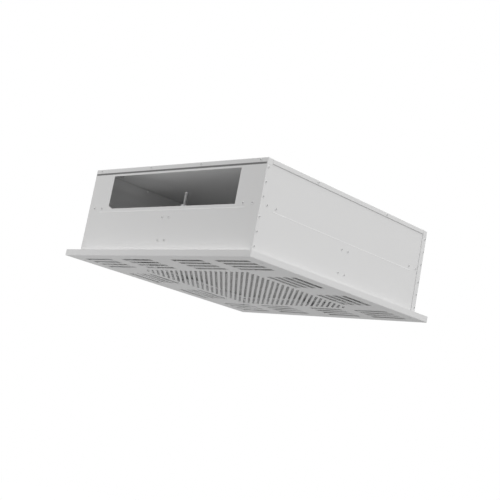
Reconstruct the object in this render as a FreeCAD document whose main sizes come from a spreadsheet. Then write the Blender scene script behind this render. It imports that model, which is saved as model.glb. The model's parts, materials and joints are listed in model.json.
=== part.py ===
import FreeCAD, Part
import math
import os
import Sketcher

os.makedirs("parts", exist_ok=True)
doc = FreeCAD.newDocument("hepa_air_outlet")
Vector = FreeCAD.Vector
Z_AXIS = Vector(0, 0, 1)

# A ceiling air outlet with its own HEPA filter, in millimetres.
# The origin is the middle of the face plate's underside, +Z is up into the
# ceiling and the duct joins the casing at its -Y side.
DRIVING = (
    ("plate_size", 595, "side of the square face plate"),
    ("plate_sheet", 1.0, "sheet of the face plate"),
    ("rim_height", 14, "height of the face plate's upturned rim"),
    ("rim_corner", 3, "outer radius of the rim's four corners"),
    ("bend_radius", 0.8, "inside radius of every fold"),
    ("flange_reach", 22.5, "face plate's reach past the casing on each side"),
    ("casing_height", 210, "top of the cover above the face"),
    ("casing_sheet", 1.2, "sheet of the casing panels"),
    ("cover_sheet", 1.2, "sheet of the top cover"),
    ("cover_rim", 10, "height of the cover's rim"),
    ("groove_height", 4.4, "sealed groove between front panel and rim"),
    ("groove_recess", 0.4, "set-back of the sealant in the groove"),
    ("return_width", 15, "corner returns of the front and back panels"),
    ("lip_gap", 2, "gap between the casing's lip and the plate's rim"),
    ("fit_gap", 0.2, "clearance between sheets that slide together"),
    ("open_side", 70.5, "wall left on each side of the duct opening"),
    ("open_sill", 7.4, "height of the opening above the sealing frame"),
    ("open_lintel", 4.1, "strip left between opening and groove"),
    ("open_corner", 14, "length of the opening's one bevelled corner"),
    ("open_bevel", 6.5, "height of the same bevelled corner"),
    ("rivet_head", 6.4, "diameter of a blind rivet's head"),
    ("rivet_crown", 4.2, "diameter of the flat on top of the head"),
    ("rivet_rise", 1.0, "height of the head"),
    ("rivet_sides", 8, "flats that stand for the head's round outline"),
    ("column_edge", 5.4, "corner rivets' line from the casing's corner"),
    ("column_foot", 28.5, "lowest corner rivet above the face"),
    ("column_head", 6, "highest corner rivet below the panel's top"),
    ("column_pitch", 30, "pitch of the corner rivets"),
    ("column_rivets", 3, "rivets in each half of a column"),
    ("cover_rivet_side", 119, "side rim rivets from the middle"),
    ("cover_rivet_near", 81, "inner front rim rivets from the middle"),
    ("cover_rivet_inset", 20, "outer front rim rivets from the casing's corner"),
    ("slot_pitch", 16, "pitch of the diagonal slots along the plate's edge"),
    ("slot_width", 5.6, "width of a diagonal slot"),
    ("field_land", 23.8, "field of diagonal slots from the nearest slot of a group"),
    ("ring_length", 95, "length of a slot in the outer groups"),
    ("ring_width", 14.4, "width of a slot in the outer groups"),
    ("ring_pitch", 22.6, "pitch of the four slots in a group"),
    ("ring_inset", 37.5, "outermost slot's middle line from the plate's edge"),
    ("ring_end", 35, "ends of the corner groups from the plate's edge"),
    ("ring_step", 134, "middle of a corner group to that of the next group"),
    ("screw_inset", 27, "face screws from the casing's corner"),
    ("screw_diameter", 4, "face screw"),
    ("screw_head", 8, "diameter of its countersunk head"),
    ("screw_length", 10, "length of the face screw over its head"),
    ("weld_nut_flats", 7, "weld nut for the face screw, across flats"),
    ("weld_nut_height", 3.2, "weld nut for the face screw"),
    ("hanger_inset", 40, "hanging points from the casing's sides"),
    ("hanger_hole", 8, "hole over each hanging nut, and its bore"),
    ("clamp_space", 57.5, "room for the clamps between casing's outside and filter"),
    ("filter_height", 78, "height of the filter's frame"),
    ("filter_wall", 1.5, "wall of the frame's extrusion"),
    ("filter_lip", 15, "width of the frame's lips"),
    ("gasket_height", 6, "height of the filter's gasket, pressed down"),
    ("gasket_width", 14, "width of the gasket"),
    ("potting_width", 4, "potting between pleats and frame"),
    ("pleat_pitch", 6, "pitch of the pleats"),
    ("pleat_sheet", 0.6, "filter paper"),
    ("thread_size", 1, "glue thread over the pleats"),
    ("thread_pitch", 35, "pitch of the glue threads"),
    ("guard_sheet", 1, "sheet of the filter's guards"),
    ("guard_pitch", 78, "pitch of the guard's diamonds"),
    ("guard_strand", 9, "strand between two diamonds"),
    ("frame_sheet", 1.4, "sheet of the sealing frame"),
    ("frame_overlap", 17.5, "sealing frame's reach over the filter"),
    ("frame_tab", 42, "width of the frame's riveted tabs"),
    ("frame_tab_rise", 16, "height of the tabs"),
    ("frame_tab_inset", 34.5, "tabs' middle from the casing's side"),
    ("frame_rivet_gap", 26.6, "pitch of a tab's two rivets"),
    ("frame_rivet_up", 8.6, "tab rivets above the frame"),
    ("bead_width", 5, "sealant bead around the frame"),
    ("bracket_width", 40, "clamp bracket"),
    ("bracket_sheet", 2, "sheet of the clamp bracket"),
    ("bracket_above", 8, "bracket's foot above the filter's underside"),
    ("bracket_below", 5, "bracket's top below the sealing frame"),
    ("bracket_rivet_gap", 20.6, "pitch of a bracket's two rivets in a row"),
    ("bracket_rivet_end", 10, "bracket's rivets from its ends"),
    ("lug_reach", 9, "lugs' reach past the clamp rod"),
    ("rod_diameter", 8, "clamp rod"),
    ("rod_offset", 11.5, "rod's axis from the filter's side"),
    ("rod_above", 28.6, "rod's end above its upper nut"),
    ("rod_clearance", 5.6, "rod's lower end above the face plate"),
    ("thread_out", 3, "thread left below the lower nut"),
    ("thread_gap", 0.1, "clearance of a thread in its nut"),
    ("hole_gap", 0.5, "clearance of a rod in a plain hole"),
    ("nut_flats", 13, "rod nuts across flats"),
    ("nut_height", 6.5, "lower rod nut"),
    ("long_nut_height", 24, "upper rod nut"),
    ("washer_diameter", 16, "washer under the claw"),
    ("washer_height", 1.6, "washer under the claw"),
    ("claw_length", 30, "claw's tip from the rod's axis"),
    ("claw_width", 18, "claw"),
    ("claw_sheet", 3.8, "claw"),
    ("claw_tip", 4, "radius of the claw's tip corners"),
    ("claw_play", 0.25, "gap over and under the claw"),
)

# Sizes that follow from the ones above.
FOLLOWING = (
    ("plate_half", "sizes.plate_size / 2"),
    ("casing_half", "plate_half - sizes.flange_reach"),
    ("filter_half", "casing_half - sizes.clamp_space"),
    ("lip_edge", "plate_half - sizes.plate_sheet - sizes.lip_gap"),
    ("front_wall", "casing_half - sizes.casing_sheet"),
    ("side_wall", "casing_half - 2 * sizes.casing_sheet"),
    ("rim_low", "sizes.casing_height - sizes.cover_rim"),
    ("panel_top", "rim_low - sizes.groove_height"),
    ("cover_under", "sizes.casing_height - sizes.cover_sheet"),
    ("leg_top", "cover_under - sizes.fit_gap"),
    ("rod_end", "sizes.plate_sheet + sizes.rod_clearance"),
    ("nut_low", "rod_end + sizes.thread_out"),
    ("washer_low", "nut_low + sizes.nut_height"),
    ("claw_low", "washer_low + sizes.washer_height + sizes.claw_play"),
    ("filter_low", "claw_low + sizes.claw_sheet + sizes.claw_play"),
    ("filter_top", "filter_low + sizes.filter_height"),
    ("seal_level", "filter_top + sizes.gasket_height"),
    ("frame_top", "seal_level + sizes.frame_sheet"),
    ("long_nut_top", "frame_top + sizes.long_nut_height"),
    ("rod_top", "long_nut_top + sizes.rod_above"),
    ("rod_line", "filter_half + sizes.rod_offset"),
    ("window_half", "filter_half - sizes.frame_overlap"),
    ("open_half", "casing_half - sizes.open_side"),
    ("open_low", "frame_top + sizes.open_sill"),
    ("open_high", "panel_top - sizes.open_lintel"),
    ("tab_line", "casing_half - sizes.frame_tab_inset"),
    ("tab_top", "frame_top + sizes.frame_tab_rise"),
    ("bracket_low", "filter_low + sizes.bracket_above"),
    ("bracket_high", "seal_level - sizes.bracket_below"),
    ("guard_half", "filter_half - sizes.filter_wall - sizes.fit_gap"),
    ("pack_half", "filter_half - sizes.filter_wall - sizes.potting_width"),
    ("pack_low", "filter_low + sizes.filter_wall + sizes.guard_sheet + sizes.thread_size"),
    ("pack_top", "filter_top - sizes.filter_wall - sizes.guard_sheet - sizes.thread_size"),
    ("hanger_place", "casing_half - sizes.hanger_inset"),
    ("screw_line", "(casing_half + lip_edge) / 2"),
    ("screw_along", "casing_half - sizes.screw_inset"),
    ("ring_line", "plate_half - sizes.ring_inset - 3 / 2 * sizes.ring_pitch"),
    ("ring_far", "plate_half - sizes.ring_end - sizes.ring_length / 2"),
    ("ring_near", "ring_far - sizes.ring_step"),
    ("field_half", "ring_line - 3 / 2 * sizes.ring_pitch - sizes.field_land"),
)


def fill_sheets():
    """Writes both tables into the document's sheets."""
    sizes = doc.addObject("Spreadsheet::Sheet", "sizes")
    for row, (alias, value, meaning) in enumerate(DRIVING, 1):
        sizes.set(f"A{row}", alias)
        sizes.set(f"B{row}", str(value))
        sizes.set(f"C{row}", meaning)
        sizes.setAlias(f"B{row}", alias)
    places = doc.addObject("Spreadsheet::Sheet", "places")
    for row, (alias, formula) in enumerate(FOLLOWING, 1):
        places.set(f"A{row}", alias)
        places.set(f"B{row}", "=" + formula)
        places.setAlias(f"B{row}", alias)
    doc.recompute()
    return sizes, places


class Reader:
    """Reads a size of either sheet by its name."""

    def __init__(self, *sheets):
        self.values = {}
        for sheet, table in sheets:
            for row in table:
                self.values[row[0]] = float(sheet.get(row[0]))

    def __getattr__(self, name):
        return self.values[name]


size_sheet, place_sheet = fill_sheets()
dim = Reader((size_sheet, DRIVING), (place_sheet, FOLLOWING))
SIDES = {"front": 0, "right": 90, "back": 180, "left": 270}


# Helpers for primitives whose sizes are bound to the sheets.
def box(name, x_range, y_range, z_range):
    """Adds a box between pairs of expressions along X, Y and Z."""
    item = doc.addObject("Part::Box", name)
    ranges = (x_range, y_range, z_range)
    for side, axis, (low, high) in zip(("Length", "Width", "Height"), "xyz", ranges):
        item.setExpression(side, f"({high}) - ({low})")
        item.setExpression(f"Placement.Base.{axis}", low)
    return item


def square(name, half, z_range):
    """Adds a square block about the Z axis."""
    span = (f"-({half})", half)
    return box(name, span, span, z_range)


def cylinder(name, diameter, z_range, x="0", y="0"):
    """Adds an upright cylinder."""
    item = doc.addObject("Part::Cylinder", name)
    low, high = z_range
    item.setExpression("Radius", f"({diameter}) / 2")
    item.setExpression("Height", f"({high}) - ({low})")
    item.setExpression("Placement.Base.x", x)
    item.setExpression("Placement.Base.y", y)
    item.setExpression("Placement.Base.z", low)
    return item


def hexagon(name, flats, z_range, x="0", y="0"):
    """Adds an upright hexagonal prism, given across its flats."""
    item = doc.addObject("Part::Prism", name)
    low, high = z_range
    item.Polygon = 6
    item.setExpression("Circumradius", f"({flats}) / sqrt(3)")
    item.setExpression("Height", f"({high}) - ({low})")
    item.setExpression("Placement.Base.x", x)
    item.setExpression("Placement.Base.y", y)
    item.setExpression("Placement.Base.z", low)
    return item


def cut(name, base, tools):
    """Cuts one or more objects from a base."""
    tool = tools[0]
    if len(tools) > 1:
        tool = fuse(f"{name}_tools", tools)
    item = doc.addObject("Part::Cut", name)
    item.Base = base
    item.Tool = tool
    return item


def fuse(name, pieces):
    """Joins objects into one."""
    item = doc.addObject("Part::MultiFuse", name)
    item.Shapes = pieces
    item.Refine = True
    return item


def bundle(name, pieces):
    """Holds alike, separate pieces in one object."""
    item = doc.addObject("Part::Compound", name)
    item.Links = pieces
    return item


def feature(name, shape, angle=0):
    """Adds a shape as an object of its own, turned about the Z axis."""
    item = doc.addObject("Part::Feature", name)
    item.Shape = shape
    item.Placement = turned(angle)
    return item


def turned(angle):
    """Returns the placement of a piece turned about the outlet's own axis."""
    return FreeCAD.Placement(Vector(0, 0, 0), FreeCAD.Rotation(Z_AXIS, angle))


# Helpers for folded sheet and other profiles.
def rounded_face(points, radii):
    """Returns a flat face in XY through the points, each corner with its radius."""
    corners = [Vector(x, y, 0) for x, y in points]
    stations = []
    for index, corner in enumerate(corners):
        if not radii[index]:
            stations.append((corner, None, corner))
            continue
        back = (corners[index - 1] - corner).normalize()
        ahead = (corners[(index + 1) % len(corners)] - corner).normalize()
        half_angle = back.getAngle(ahead) / 2
        run = radii[index] / math.tan(half_angle)
        middle = (back + ahead).normalize()
        middle = corner + middle * (radii[index] / math.sin(half_angle) - radii[index])
        stations.append((corner + back * run, middle, corner + ahead * run))
    edges = []
    for index, (start, middle, end) in enumerate(stations):
        if middle:
            edges.append(Part.Arc(start, middle, end).toShape())
        following = stations[(index + 1) % len(stations)][0]
        if end.distanceToPoint(following) > 1e-6:
            edges.append(Part.makeLine(end, following))
    return Part.Face(Part.Wire(edges))


def fold_face(path, sheet, bend):
    """Returns the section of a folded sheet that lies to the left of its path."""
    points = [Vector(x, y, 0) for x, y in path]
    runs = [(b - a).normalize() for a, b in zip(points, points[1:])]
    lefts = [Vector(-run.y, run.x, 0) for run in runs]
    offset = [points[0] + lefts[0] * sheet]
    path_radii = [0]
    offset_radii = [0]
    for index in range(1, len(points) - 1):
        first, second = lefts[index - 1], lefts[index]
        offset.append(points[index] + (first + second) * (sheet / (1 + first.dot(second))))
        turns_left = runs[index - 1].cross(runs[index]).z > 0
        path_radii.append(bend + sheet if turns_left else bend)
        offset_radii.append(bend if turns_left else bend + sheet)
    offset.append(points[-1] + lefts[-1] * sheet)
    outline = points + offset[::-1]
    radii = path_radii + [0, 0] + offset_radii[::-1]
    return rounded_face([(point.x, point.y) for point in outline], radii)


def upright(face, low, high):
    """Raises a plan face from one height to another."""
    raised = face.translated(Vector(0, 0, low))
    return raised.extrude(Vector(0, 0, high - low))


def along_x(face, low, high):
    """Extrudes a section drawn as (y, z) along X."""
    turn = FreeCAD.Rotation(Vector(0, 1, 0), Vector(0, 0, 1), Vector(1, 0, 0), "XYZ")
    section = face.copy()
    section.Placement = FreeCAD.Placement(Vector(low, 0, 0), turn)
    return section.extrude(Vector(high - low, 0, 0))


def joined(shapes):
    """Joins shapes into one solid with its flat faces merged."""
    whole = shapes[0].fuse(shapes[1:]).removeSplitter()
    return whole.Solids[0] if len(whole.Solids) == 1 else whole


# Casing panels, drawn at the -Y side.
def wall_section(wall, top):
    """Returns a panel's wall with the outward lip at its foot, as (y, z)."""
    foot = dim.plate_sheet
    path = [(-dim.lip_edge, foot), (-wall, foot), (-wall, top)]
    return fold_face(path, dim.casing_sheet, dim.bend_radius)


def long_panel():
    """Returns the wall that wraps round two corners and steps in under the cover."""
    half = dim.casing_half
    inner = half - dim.return_width
    plan = [(-half, -inner), (-half, -half), (half, -half), (half, -inner)]
    wrap = fold_face(plan, dim.casing_sheet, dim.bend_radius)
    wrap_low = dim.plate_sheet + dim.casing_sheet + dim.bend_radius
    wrap = upright(wrap, wrap_low, dim.panel_top)
    between = half - dim.casing_sheet - dim.bend_radius
    lip = along_x(wall_section(dim.front_wall, dim.panel_top), -between, between)
    step = dim.cover_sheet + dim.fit_gap
    leg = [
        (-half + step, dim.leg_top),
        (-half + step, dim.panel_top + step),
        (-half, dim.panel_top),
        (-half, dim.panel_top - step),
    ]
    leg_half = dim.side_wall - dim.fit_gap
    leg = along_x(fold_face(leg, dim.casing_sheet, 0), -leg_half, leg_half)
    return joined([wrap, lip, leg])


def duct_cutter():
    """Returns the prism that opens the front panel for the duct."""
    half = dim.open_half
    outline = [
        (-half + dim.open_corner, dim.open_low),
        (half, dim.open_low),
        (half, dim.open_high),
        (-half, dim.open_high),
        (-half, dim.open_low + dim.open_bevel),
    ]
    wire = Part.makePolygon([Vector(x, -dim.plate_half, z) for x, z in outline + outline[:1]])
    reach = dim.plate_half - dim.window_half
    return Part.Face(wire).extrude(Vector(0, reach, 0))


def side_panel():
    """Returns the flat wall between two corner returns, with its lip."""
    half = dim.front_wall - dim.fit_gap
    return along_x(wall_section(dim.side_wall, dim.leg_top), -half, half)


def make_panels():
    """Makes the four panels, drilled for the face screws."""
    front = long_panel().cut(duct_cutter())
    back = long_panel()
    feature("front_panel", front)
    feature("back_panel", back, SIDES["back"])
    drilled = side_panel().cut(screw_holes())
    feature("right_panel", drilled, SIDES["right"])
    feature("left_panel", drilled, SIDES["left"])


def screw_spots():
    """Lists the two screw places of a side as (x, y), drawn at the -Y side."""
    return [(side * dim.screw_along, -dim.screw_line) for side in (-1, 1)]


def screw_cone(x, y, gap):
    """Returns the countersink, its sides widened by a gap."""
    depth = (dim.screw_head - dim.screw_diameter) / 2
    wide = dim.screw_head / 2 + gap
    narrow = dim.screw_diameter / 2 + gap
    return Part.makeCone(wide, narrow, depth, Vector(x, y, 0), Z_AXIS)


def screw_holes():
    """Returns the countersunk holes of one side's two face screws."""
    holes = []
    for x, y in screw_spots():
        radius = dim.screw_diameter / 2 + dim.thread_gap
        shank = Part.makeCylinder(radius, dim.screw_length, Vector(x, y, 0), Z_AXIS)
        holes.append(screw_cone(x, y, dim.thread_gap).fuse(shank))
    return Part.makeCompound(holes)


# Top cover: a shallow tray whose rim hangs over the panels.
def edge_numbers(shape, pick):
    """Lists the numbers of the edges whose middle the pick function accepts."""
    chosen = []
    for number, edge in enumerate(shape.Edges, 1):
        middle = edge.CenterOfMass
        if pick(edge, middle):
            chosen.append(number)
    return chosen


def fillet(name, base, radius, pick):
    """Rounds chosen edges of an object with one radius."""
    doc.recompute()
    item = doc.addObject("Part::Fillet", name)
    item.Base = base
    item.Edges = [(number, radius, radius) for number in edge_numbers(base.Shape, pick)]
    return item


def is_vertical(edge, _middle):
    """Tells whether an edge stands upright."""
    return abs(edge.tangentAt(edge.FirstParameter).z) > 0.99


def make_cover():
    """Makes the cover with front and side rims, corner tabs and hanging holes."""
    half = "places.casing_half"
    tab_low = "places.panel_top + sizes.fit_gap"
    block = square("cover_block", half, (tab_low, "sizes.casing_height"))
    outer_bend = dim.bend_radius + dim.cover_sheet
    rounded = fillet("cover_corners", block, outer_bend, is_vertical)

    def on_top(_edge, middle):
        return middle.z > dim.casing_height - 0.01

    rounded = fillet("cover_edges", rounded, outer_bend, on_top)
    hollow = square("cover_hollow", f"{half} - sizes.cover_sheet", (tab_low, "places.cover_under"))
    inside = f"{half} - sizes.cover_sheet - sizes.bend_radius"
    tools = [hollow]
    beyond = f"{half} + sizes.cover_sheet"
    between_tabs = f"{half} - sizes.return_width"
    low = (tab_low, "places.rim_low")
    tools.append(box("cover_front_notch", (f"-({inside})", inside), (f"-({beyond})", beyond), low))
    tools.append(box("cover_side_notch", (f"-({beyond})", beyond),
                     (f"-({between_tabs})", between_tabs), low))
    for sign in ("-", ""):
        edge = f"{sign}({between_tabs})"
        slit = (f"{edge} - sizes.fit_gap", f"{edge} + sizes.fit_gap")
        height = (tab_low, "places.cover_under")
        tools.append(box("cover_slit", (f"-({beyond})", beyond), slit, height))
    for x_sign in ("-", ""):
        for y_sign in ("-", ""):
            tools.append(cylinder("cover_hole", "sizes.hanger_hole", (tab_low, "sizes.casing_height"),
                                  f"{x_sign}places.hanger_place", f"{y_sign}places.hanger_place"))
    cut("top_cover", rounded, tools)


def make_hanger_nuts():
    """Makes the four weld nuts under the cover."""
    nuts = []
    low = "places.cover_under - sizes.nut_height"
    for x_sign in ("-", ""):
        for y_sign in ("-", ""):
            spot = (f"{x_sign}places.hanger_place", f"{y_sign}places.hanger_place")
            body = hexagon("hanger_hexagon", "sizes.nut_flats", (low, "places.cover_under"), *spot)
            bore = cylinder("hanger_bore", "sizes.hanger_hole", (low, "places.cover_under"), *spot)
            nuts.append(cut("hanger_nut", body, [bore]))
    bundle("hanger_nuts", nuts)


def make_groove_seals():
    """Makes the sealant strips in the grooves above the front and back panels."""
    half = dim.casing_half
    step = dim.cover_sheet + dim.fit_gap
    face = -half + dim.groove_recess
    section = [
        (-half + step, dim.panel_top + step),
        (-half + step, dim.rim_low),
        (face, dim.rim_low),
        (face, dim.panel_top + dim.groove_recess),
    ]
    length = dim.side_wall - dim.fit_gap
    strip = along_x(rounded_face(section, [0] * len(section)), -length, length)
    feature("front_groove_seal", strip)
    feature("back_groove_seal", strip, SIDES["back"])


# Rivets: their heads as they stand on the sheet.
def rivet_heads(spots, face):
    """Returns the heads at (x, z) places on the -Y face at a distance."""
    sides = int(dim.rivet_sides)
    turns = [step * 2 * math.pi / sides for step in range(sides + 1)]
    rings = []
    for diameter, rise in ((dim.rivet_head, 0), (dim.rivet_crown, dim.rivet_rise)):
        radius = diameter / 2
        ring = [Vector(radius * math.cos(t), -face - rise, radius * math.sin(t)) for t in turns]
        rings.append(Part.makePolygon(ring))
    head = Part.makeLoft(rings, True, True)
    return [head.translated(Vector(x, 0, z)) for x, z in spots]


def turned_shapes(shapes, angle):
    """Returns copies of shapes turned about the Z axis."""
    return [shape.rotated(Vector(0, 0, 0), Z_AXIS, angle) for shape in shapes]


def column_heights():
    """Lists the heights of a corner's six rivets, three from each end."""
    top = dim.panel_top - dim.column_head
    steps = [step * dim.column_pitch for step in range(int(dim.column_rivets))]
    lower = [dim.column_foot + step for step in steps]
    upper = [top - step for step in steps]
    return lower + upper[::-1]


def make_rivets():
    """Makes the rivets of the corners, cover, sealing frame and brackets."""
    line = dim.casing_half - dim.column_edge
    for side, across in (("right", 1), ("left", -1)):
        for end, place in (("front", -1), ("back", 1)):
            spots = [(place * across * line, height) for height in column_heights()]
            heads = rivet_heads(spots, dim.casing_half)
            heads = turned_shapes(heads, SIDES[side])
            feature(f"{end}_{side}_corner_rivets", Part.makeCompound(heads))
    rim_middle = (dim.rim_low + dim.casing_height) / 2
    cover, frame, bracket = [], [], []
    for side, angle in SIDES.items():
        long_side = side in ("front", "back")
        far = dim.casing_half - dim.cover_rivet_inset
        places = (dim.cover_rivet_near, far) if long_side else (dim.cover_rivet_side,)
        spots = [(sign * place, rim_middle) for place in places for sign in (-1, 1)]
        cover += turned_shapes(rivet_heads(spots, dim.casing_half), angle)
        face = dim.casing_half if long_side else dim.front_wall
        height = dim.frame_top + dim.frame_rivet_up
        gap = dim.frame_rivet_gap / 2
        spots = [(sign * dim.tab_line + shift, height) for sign in (-1, 1) for shift in (-gap, gap)]
        frame += turned_shapes(rivet_heads(spots, face), angle)
        gap = dim.bracket_rivet_gap / 2
        heights = (dim.bracket_low + dim.bracket_rivet_end, dim.bracket_high - dim.bracket_rivet_end)
        spots = [(shift, height) for shift in (-gap, gap) for height in heights]
        bracket += turned_shapes(rivet_heads(spots, face), angle)
    feature("cover_rivets", Part.makeCompound(cover))
    feature("frame_rivets", Part.makeCompound(frame))
    feature("bracket_rivets", Part.makeCompound(bracket))


# Sealing frame that the filter is pressed against.
def tab_boxes():
    """Adds the frame's eight upturned tabs, two at each corner."""
    tabs = []
    height = ("places.seal_level", "places.tab_top")
    half_tab = "sizes.frame_tab / 2"
    for sign in ("-", ""):
        along = (f"{sign}places.tab_line - {half_tab}", f"{sign}places.tab_line + {half_tab}")
        for outward in (-1, 1):
            for wall, is_front in (("places.front_wall", True), ("places.side_wall", False)):
                outer = f"{wall} - sizes.fit_gap"
                inner = f"{outer} - sizes.frame_sheet"
                across = (inner, outer) if outward > 0 else (f"-({outer})", f"-({inner})")
                if is_front:
                    tabs.append(box("frame_tab", along, across, height))
                else:
                    tabs.append(box("frame_tab", across, along, height))
    return tabs


def make_sealing_frame():
    """Makes the flat frame with its tabs, window and rod holes."""
    x_half = "places.side_wall - sizes.fit_gap"
    y_half = "places.front_wall - sizes.fit_gap"
    height = ("places.seal_level", "places.frame_top")
    flat = box("frame_flat", (f"-({x_half})", x_half), (f"-({y_half})", y_half), height)
    tabs = tab_boxes()
    whole = fuse("frame_whole", [flat] + tabs)
    tools = [square("frame_window", "places.window_half", height)]
    hole = "sizes.rod_diameter + 2 * sizes.hole_gap"
    for x, y in rod_spots():
        tools.append(cylinder("frame_hole", hole, height, x, y))
    cut("sealing_frame", whole, tools)
    return tabs


def rod_spots():
    """Lists the four rods' places as expressions, front, right, back, left."""
    line = "places.rod_line"
    return [("0", f"-{line}"), (line, "0"), ("0", line), (f"-{line}", "0")]


def make_bead(tabs):
    """Makes the sealant bead between the frame, its tabs and the walls."""
    low = dim.frame_top
    high = low + dim.bead_width
    x_half, y_half = dim.side_wall, dim.front_wall
    outer = Part.makeBox(2 * x_half, 2 * y_half, high - low, Vector(-x_half, -y_half, low))

    def ring(inset, height):
        x, y = x_half - inset, y_half - inset
        corners = [(-x, -y), (x, -y), (x, y), (-x, y), (-x, -y)]
        return Part.makePolygon([Vector(a, b, height) for a, b in corners])

    hollow = Part.makeLoft([ring(dim.bead_width, low), ring(dim.fit_gap + dim.frame_sheet, high)], True)
    feature("sealant_bead", outer.cut(hollow).cut([tab.Shape for tab in tabs]))


# Clamps: a folded bracket, a rod in two nuts and a claw under the filter.
def bracket_shape(wall):
    """Returns the folded bracket on a wall at a distance, drawn at the -Y side."""
    tip = dim.rod_line - dim.lug_reach
    path = [(-tip, dim.bracket_high), (-wall, dim.bracket_high), (-wall, dim.bracket_low),
            (-tip, dim.bracket_low)]
    section = fold_face(path, dim.bracket_sheet, dim.bend_radius)
    half = dim.bracket_width / 2
    whole = along_x(section, -half, half)
    radius = dim.rod_diameter / 2 + dim.hole_gap
    hole = Part.makeCylinder(radius, dim.casing_height, Vector(0, -dim.rod_line, 0), Z_AXIS)
    return whole.cut(hole)


def make_claw(side, angle):
    """Makes a claw in its own body: rounded at the rod, square at the tip."""
    body = doc.addObject("PartDesign::Body", f"{side}_claw")
    sketch = body.newObject("Sketcher::SketchObject", f"{side}_claw_outline")
    plane = next(item for item in body.Origin.OriginFeatures if item.Role == "XY_Plane")
    sketch.AttachmentSupport = [(plane, "")]
    sketch.MapMode = "FlatFace"
    radius = dim.claw_width / 2
    length = dim.claw_length
    circle = Part.Circle(Vector(0, 0, 0), Z_AXIS, radius)
    sketch.addGeometry(Part.ArcOfCircle(circle, math.pi, 2 * math.pi))
    corners = [(radius, 0), (radius, length), (-radius, length), (-radius, 0)]
    for (x, y), (next_x, next_y) in zip(corners, corners[1:]):
        sketch.addGeometry(Part.LineSegment(Vector(x, y, 0), Vector(next_x, next_y, 0)))
    sketch.addGeometry(Part.Circle(Vector(0, 0, 0), Z_AXIS, radius / 2))
    arc, right, tip, left, hole = range(5)
    origin = (-1, 1)
    sketch.addConstraint([
        Sketcher.Constraint("Coincident", arc, 3, *origin),
        Sketcher.Constraint("Coincident", hole, 3, *origin),
        Sketcher.Constraint("Coincident", arc, 2, right, 1),
        Sketcher.Constraint("Coincident", right, 2, tip, 1),
        Sketcher.Constraint("Coincident", tip, 2, left, 1),
        Sketcher.Constraint("Coincident", left, 2, arc, 1),
        Sketcher.Constraint("PointOnObject", right, 1, -1),
        Sketcher.Constraint("PointOnObject", left, 2, -1),
        Sketcher.Constraint("Vertical", right),
        Sketcher.Constraint("Vertical", left),
        Sketcher.Constraint("Horizontal", tip),
    ])
    bound = (
        (Sketcher.Constraint("Radius", arc, radius), "sizes.claw_width / 2"),
        (Sketcher.Constraint("Radius", hole, radius / 2), "sizes.rod_diameter / 2 + sizes.hole_gap"),
        (Sketcher.Constraint("DistanceY", *origin, tip, 1, length), "sizes.claw_length"),
    )
    for constraint, expression in bound:
        number = sketch.addConstraint(constraint)
        sketch.setExpression(f"Constraints[{number}]", expression)
    pad = body.newObject("PartDesign::Pad", f"{side}_claw_plate")
    pad.Profile = sketch
    pad.setExpression("Length", "sizes.claw_sheet")
    doc.recompute()

    def at_tip(edge, middle):
        return is_vertical(edge, middle) and middle.y > dim.claw_length - 0.01

    corners = body.newObject("PartDesign::Fillet", f"{side}_claw_corners")
    corners.Base = (pad, [f"Edge{number}" for number in edge_numbers(pad.Shape, at_tip)])
    corners.setExpression("Radius", "sizes.claw_tip")
    spot = Vector(0, -dim.rod_line, dim.claw_low)
    body.Placement = turned(angle).multiply(FreeCAD.Placement(spot, FreeCAD.Rotation()))
    return body


def make_clamp(side, angle, x, y):
    """Makes one wall's bracket, rod, nuts, washer and claw."""
    wall = dim.front_wall if side in ("front", "back") else dim.side_wall
    feature(f"{side}_clamp_bracket", bracket_shape(wall), angle)
    cylinder(f"{side}_clamp_rod", "sizes.rod_diameter", ("places.rod_end", "places.rod_top"), x, y)
    bore = "sizes.rod_diameter + 2 * sizes.thread_gap"
    nuts = (
        ("upper_nut", ("places.frame_top", "places.long_nut_top")),
        ("lower_nut", ("places.nut_low", "places.washer_low")),
    )
    for kind, height in nuts:
        outer = hexagon(f"{side}_{kind}_hexagon", "sizes.nut_flats", height, x, y)
        inner = cylinder(f"{side}_{kind}_bore", bore, height, x, y)
        cut(f"{side}_{kind}", outer, [inner])
    height = ("places.washer_low", "places.washer_low + sizes.washer_height")
    disc = cylinder(f"{side}_washer_disc", "sizes.washer_diameter", height, x, y)
    hole = cylinder(f"{side}_washer_hole", bore, height, x, y)
    cut(f"{side}_washer", disc, [hole])
    make_claw(side, angle)


# Filter: four mitred frame bars round a potted pleat pack with guards and gasket.
def make_filter_frame():
    """Makes the four channel-shaped bars, mitred at the corners."""
    half = dim.filter_half
    tip = half - dim.filter_lip
    path = [(-tip, dim.filter_top), (-half, dim.filter_top), (-half, dim.filter_low),
            (-tip, dim.filter_low)]
    bar = along_x(fold_face(path, dim.filter_wall, 0), -half, half)
    corners = [(0, 0), (-half, -half), (half, -half), (0, 0)]
    sector = Part.Face(Part.makePolygon([Vector(x, y, 0) for x, y in corners]))
    bar = bar.common(sector.extrude(Vector(0, 0, dim.casing_height)))
    for side, angle in SIDES.items():
        feature(f"filter_{side}_bar", bar, angle)


def make_pleats():
    """Makes the pleated paper as one zigzag sheet of even thickness."""
    low, high = dim.pack_low, dim.pack_top
    reach = dim.pack_half
    folds = 2 * round(2 * reach / dim.pleat_pitch)
    step = 2 * reach / folds
    drop = dim.pleat_sheet * math.hypot(step, high - low) / step
    places = [-reach + index * step for index in range(folds + 1)]
    upper = [(x, high if index % 2 else low + drop) for index, x in enumerate(places)]
    lower = [(x, high - drop if index % 2 else low) for index, x in enumerate(places)]
    outline = [Vector(x, -reach, z) for x, z in upper + lower[::-1] + upper[:1]]
    pack = Part.Face(Part.makePolygon(outline)).extrude(Vector(0, 2 * reach, 0))
    feature("pleated_paper", pack)


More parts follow.
